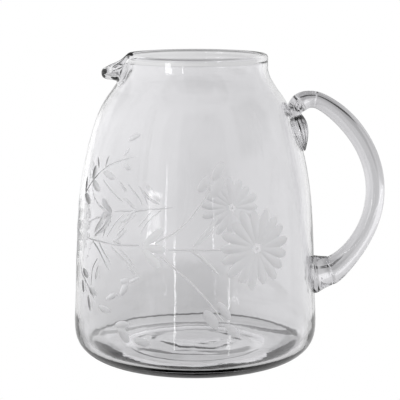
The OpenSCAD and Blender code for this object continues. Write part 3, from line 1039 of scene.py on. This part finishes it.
def empty_tree(block):
    """The node tree of a material or a world, emptied."""
    block.use_nodes = True
    block.node_tree.nodes.clear()
    return block.node_tree


def calc(tree, operation, a, b):
    return add_node(tree, "Math", {"operation": operation}, _0=a, _1=b)


def noise_height(tree, place, scale, detail, stretch=(1, 1, 1)):
    stretched = add_node(tree, "Mapping", Vector=place, Scale=stretch)
    return add_node(tree, "TexNoise", Vector=stretched, Scale=scale,
                    Detail=detail, Roughness=0.5).outputs["Fac"]


def glass_material(name, glass, colour, roughness, layers, clear=1.0):
    """Glass of one colour, with its layers of fine unevenness."""
    tree = empty_tree(bpy.data.materials.new(name))
    place = add_node(tree, "TexCoord").outputs["Object"]
    skin = {}
    for scale, detail, stretch, height in layers:
        bump = add_node(tree, "Bump", Strength=1.0, Distance=height,
                        Height=noise_height(tree, place, scale, detail, stretch), **skin)
        skin = {"Normal": bump}
    shader = add_node(tree, "BsdfPrincipled", Base_Color=(*colour, 1),
                      Roughness=roughness, IOR=glass.ior, Transmission_Weight=clear, **skin)
    add_node(tree, "OutputMaterial", Surface=shader)


def fused_material():
    """The inside of a fused joint: one glass on both sides, so that nothing shows."""
    tree = empty_tree(bpy.data.materials.new("fused_joint"))
    shader = add_node(tree, "BsdfPrincipled", Base_Color=WHITE, Alpha=0.0)
    add_node(tree, "OutputMaterial", Surface=shader)


def make_glasses(glass):
    glass_material("blown_glass", glass, glass.clear, glass.polish, BLOWN_SKIN)
    glass_material("drawn_glass", glass, glass.drawn, glass.polish, DRAWN_SKIN)
    # the coarse glass scatters more white back: partly its coarser cut, partly a painted highlight
    # on the bud and its stems
    for name, bloom in (("ground_glass", glass.ground_bloom), ("coarse_glass_painted_highlight", glass.painted_highlight_bloom)):
        glass_material(name, glass, glass.ground, glass.ground_roughness, GROUND_SKIN, 1 - bloom)
    fused_material()


def span(tree, value, low, high, edge):
    """1 between low and high, falling smoothly to 0 over the edge."""
    return calc(tree, "MULTIPLY", *(
        add_node(tree, "MapRange", {"interpolation_type": "SMOOTHSTEP"}, _0=value,
                 _1=middle - edge / 2, _2=middle + edge / 2, _3=before, _4=after)
        for middle, before, after in ((low, 0.0, 1.0), (high, 1.0, 0.0))))


def ramp(tree, value, stops):
    """Light that follows a list of places and values."""
    low, high = stops[0][0], stops[-1][0]
    node = add_node(tree, "ValToRGB", _0=add_node(tree, "MapRange", _0=value, _1=low, _2=high))
    points = node.color_ramp.elements
    for i, (x, light) in enumerate(stops):
        point = points[i] if i < 2 else points.new(0.5)
        point.position = (x - low) / (high - low)
        point.color = (light, light, light, 1)
    return node


# Light of the studio at a height, from straight down (-1) to straight up (1)
SKY = [(-1, 0.01), (-0.94, 0.02), (-0.9, 0.5), (-0.8, 0.68), (-0.5, 0.78), (-0.3, 0.84),
       (-0.2, 0.9), (-0.1, 0.95), (0, 0.93), (0.5, 0.85), (0.8, 0.75), (1, 0.6)]
# Panels: azimuth from and to in degrees, height from and to, soft edges of both, and what
# they add to the light. Azimuth is 0 at the camera's side for the near ones and 0 behind
# the jug for the far ones; it grows towards +X
NEAR_PANELS = [(-120, -39, -0.45, 0.8, 4, 0.1, 0.35), (-18, 36, -0.45, 0.8, 3, 0.1, -0.4),
               (36, 110, -0.45, 0.8, 6, 0.1, -0.15), (-110, -56, -0.72, -0.45, 8, 0.06, -0.5)]
FAR_PANELS = [(-13, 14, -0.9, 0.4, 4, 0.1, -0.135), (-10.5, -2.5, -0.6, -0.15, 1.5, 0.06, -0.07),
              (-1, 30, -0.35, 0.3, 6, 0.1, -0.085), (-40, -11, -0.19, 0.05, 3, 0.05, 0.2),
              (-50, 2, -0.5, -0.21, 4, 0.04, -0.125), (-30, 30, -0.8, -0.54, 8, 0.05, -0.12),
              (-30, 30, -0.54, -0.4, 8, 0.05, -0.05), (-15, 11, -0.5, -0.39, 2, 0.025, -0.36)]
# Windows of the studio, which show as thin broken lights on the near wall
WINDOWS = [(-19.4, -18.4, -0.3, -0.068, 0.4, 0.02, 5.0), (-46.5, -38, -0.1, -0.055, 1, 0.01, 6.0),
           (-47, -33.5, -0.05, 0.15, 0.6, 0.01, 0.7), (-45.6, -44.2, -0.05, 0.15, 0.5, 0.01, 2.5),
           (-47, -33.5, 0.13, 0.15, 0.6, 0.01, 2.5), (-41, -34, -0.04, 0.03, 2, 0.02, 1.2),
           (31.8, 33.2, -0.19, -0.158, 0.5, 0.01, 4.0), (31.4, 32.8, -0.42, -0.22, 0.5, 0.05, 4.0),
           (31.5, 33.5, -0.118, -0.11, 0.5, 0.004, 6.0),
           (31.5, 33.5, -0.094, -0.087, 0.5, 0.004, 6.0)]
CLOUD_SCALE, CLOUD_DETAIL, CLOUD_DEPTH = 24.0, 3, 0.16  # unevenness of the studio's walls
LEAST_LIGHT = 0.01
SENSOR = 36  # width of the camera's sensor in millimetres


def add_panels(tree, light, azimuth, z, panels):
    for left, right, low, high, edge, rise, power in panels:
        panel = calc(tree, "MULTIPLY", span(tree, z, low, high, rise),
                     span(tree, azimuth, radians(left), radians(right), radians(edge)))
        light = calc(tree, "ADD", light, calc(tree, "MULTIPLY", panel, power))
    return light


def for_camera(tree, seen, other):
    """One shader for what the camera sees itself, another for all other rays."""
    ray = add_node(tree, "LightPath").outputs["Is Camera Ray"]
    return add_node(tree, "MixShader", _0=ray, _1=other, _2=seen)


def light_studio():
    """A white ground for the camera; soft directional light for the glass."""
    world = bpy.data.worlds.new("studio")
    bpy.context.scene.world = world
    tree = empty_tree(world)
    facing = add_node(tree, "TexCoord").outputs["Generated"]
    x, y, z = add_node(tree, "SeparateXYZ", Vector=facing).outputs
    near = calc(tree, "ARCTAN2", x, calc(tree, "MULTIPLY", y, -1.0))
    far = calc(tree, "ARCTAN2", x, y)
    light = ramp(tree, z, SKY)
    light = add_panels(tree, light, near, z, NEAR_PANELS)
    light = add_panels(tree, light, far, z, FAR_PANELS)
    cloud = noise_height(tree, facing, CLOUD_SCALE, CLOUD_DETAIL)
    cloud = calc(tree, "ADD", calc(tree, "MULTIPLY", cloud, CLOUD_DEPTH), 1 - CLOUD_DEPTH / 2)
    light = add_panels(tree, calc(tree, "MULTIPLY", light, cloud), near, z, WINDOWS)
    light = calc(tree, "MAXIMUM", light, LEAST_LIGHT)
    studio = add_node(tree, "Background", Color=WHITE, Strength=light)
    paper = add_node(tree, "Background", Color=WHITE, Strength=1.0)
    add_node(tree, "OutputWorld", Surface=for_camera(tree, paper, studio))


def lay_floor(stage):
    pick_none()
    bpy.ops.mesh.primitive_circle_add(vertices=PAPER_SIDES, radius=stage.floor_radius,
                                      fill_type="NGON")
    floor = named("paper_floor")
    tree = empty_tree(bpy.data.materials.new("white_paper"))
    paper = add_node(tree, "Emission", Color=WHITE, Strength=1.0)
    clear = add_node(tree, "BsdfTransparent")
    add_node(tree, "OutputMaterial", Surface=for_camera(tree, paper, clear))
    coat(floor, "white_paper")


def set_camera(stage):
    pick_none()
    bpy.ops.object.camera_add(location=stage.camera_place,
                              rotation=(pi / 2 - stage.camera_dip, 0, 0))
    camera = bpy.context.object
    camera.name = "studio_camera"
    camera.data.sensor_width = SENSOR
    camera.data.lens = stage.lens
    bpy.context.scene.camera = camera


class SetPitcherStage(bpy.types.Operator):
    """Lay the pale floor, light the studio and stand the camera at the photograph's angle"""
    bl_idname = "pitcher.stage"
    bl_label = "Stage"

    def execute(self, context):
        stage = context.scene.pitcher_stage
        context.scene.view_settings.view_transform = "Standard"
        make_glasses(context.scene.pitcher_glass)
        light_studio()
        lay_floor(stage)
        set_camera(stage)
        return {"FINISHED"}


class PressLowerPad(bpy.types.Operator):
    """Press the flared pad at the handle's foot against the wall"""
    bl_idname = "pitcher.pad"
    bl_label = "Lower pad"

    def execute(self, context):
        finish_piece(press_pad(context), "lower_pad")
        return {"FINISHED"}


class DrawHandleRod(bpy.types.Operator):
    """Draw the handle's rod out from the pad and bow it up to the crimped end"""
    bl_idname = "pitcher.rod"
    bl_label = "Handle rod"

    def execute(self, context):
        finish_piece(draw_handle(context), "handle")
        return {"FINISHED"}


class CrimpHandleEnd(bpy.types.Operator):
    """Curl the rod's hot end onto the shoulder and press its leaf into ribs"""
    bl_idname = "pitcher.crimp"
    bl_label = "Crimped end"

    def execute(self, context):
        finish_piece(crimp_end(context), "crimped_end")
        return {"FINISHED"}


class BlowBody(bpy.types.Operator):
    """Blow the body, pull its spout, fuse the handle to it and cut its flowers"""
    bl_idname = "pitcher.body"
    bl_label = "Body"

    def execute(self, context):
        body = blow_body(context)
        for name in ("handle_pad", "crimped_leaf"):  # let into the wall, so that no gap is left
            carve(body, twin(bpy.data.objects[name]))
        cut_pattern(body, context.scene)
        finish_piece(body, "jug_body")
        crease_cuts(body)
        return {"FINISHED"}


class PitcherPanel(bpy.types.Panel):
    """Sizes, glass and steps of the pitcher"""
    bl_label = "Cut Glass Pitcher"
    bl_idname = "VIEW3D_PT_pitcher"
    bl_space_type = "VIEW_3D"
    bl_region_type = "UI"
    bl_category = "Pitcher"

    def draw(self, context):
        for name, kind in SETTINGS:
            box = self.layout.box()
            box.label(text=kind.__name__)
            for key in kind.__annotations__:
                box.prop(getattr(context.scene, name), key)
        for step in STEPS:
            self.layout.operator(step.bl_idname)


SETTINGS = [("pitcher_jug", JugSizes), ("pitcher_pad", PadSizes), ("pitcher_rod", RodSizes),
            ("pitcher_crimp", CrimpSizes), ("pitcher_cut", CutSizes),
            ("pitcher_glass", GlassColours), ("pitcher_stage", StageSettings)]
STEPS = [SetPitcherStage, PressLowerPad, DrawHandleRod, CrimpHandleEnd, BlowBody]


def register():
    for name, kind in SETTINGS:
        bpy.utils.register_class(kind)
        setattr(bpy.types.Scene, name, PointerProperty(type=kind))
    for kind in STEPS + [PitcherPanel]:
        bpy.utils.register_class(kind)


def unregister():
    for kind in [PitcherPanel] + STEPS[::-1]:
        bpy.utils.unregister_class(kind)
    for name, kind in SETTINGS[::-1]:
        delattr(bpy.types.Scene, name)
        bpy.utils.unregister_class(kind)


def main():
    register()
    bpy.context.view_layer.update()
    bpy.ops.pitcher.stage()
    bpy.ops.pitcher.pad()
    bpy.ops.pitcher.rod()
    bpy.ops.pitcher.crimp()
    bpy.ops.pitcher.body()


if __name__ == "__main__":
    main()
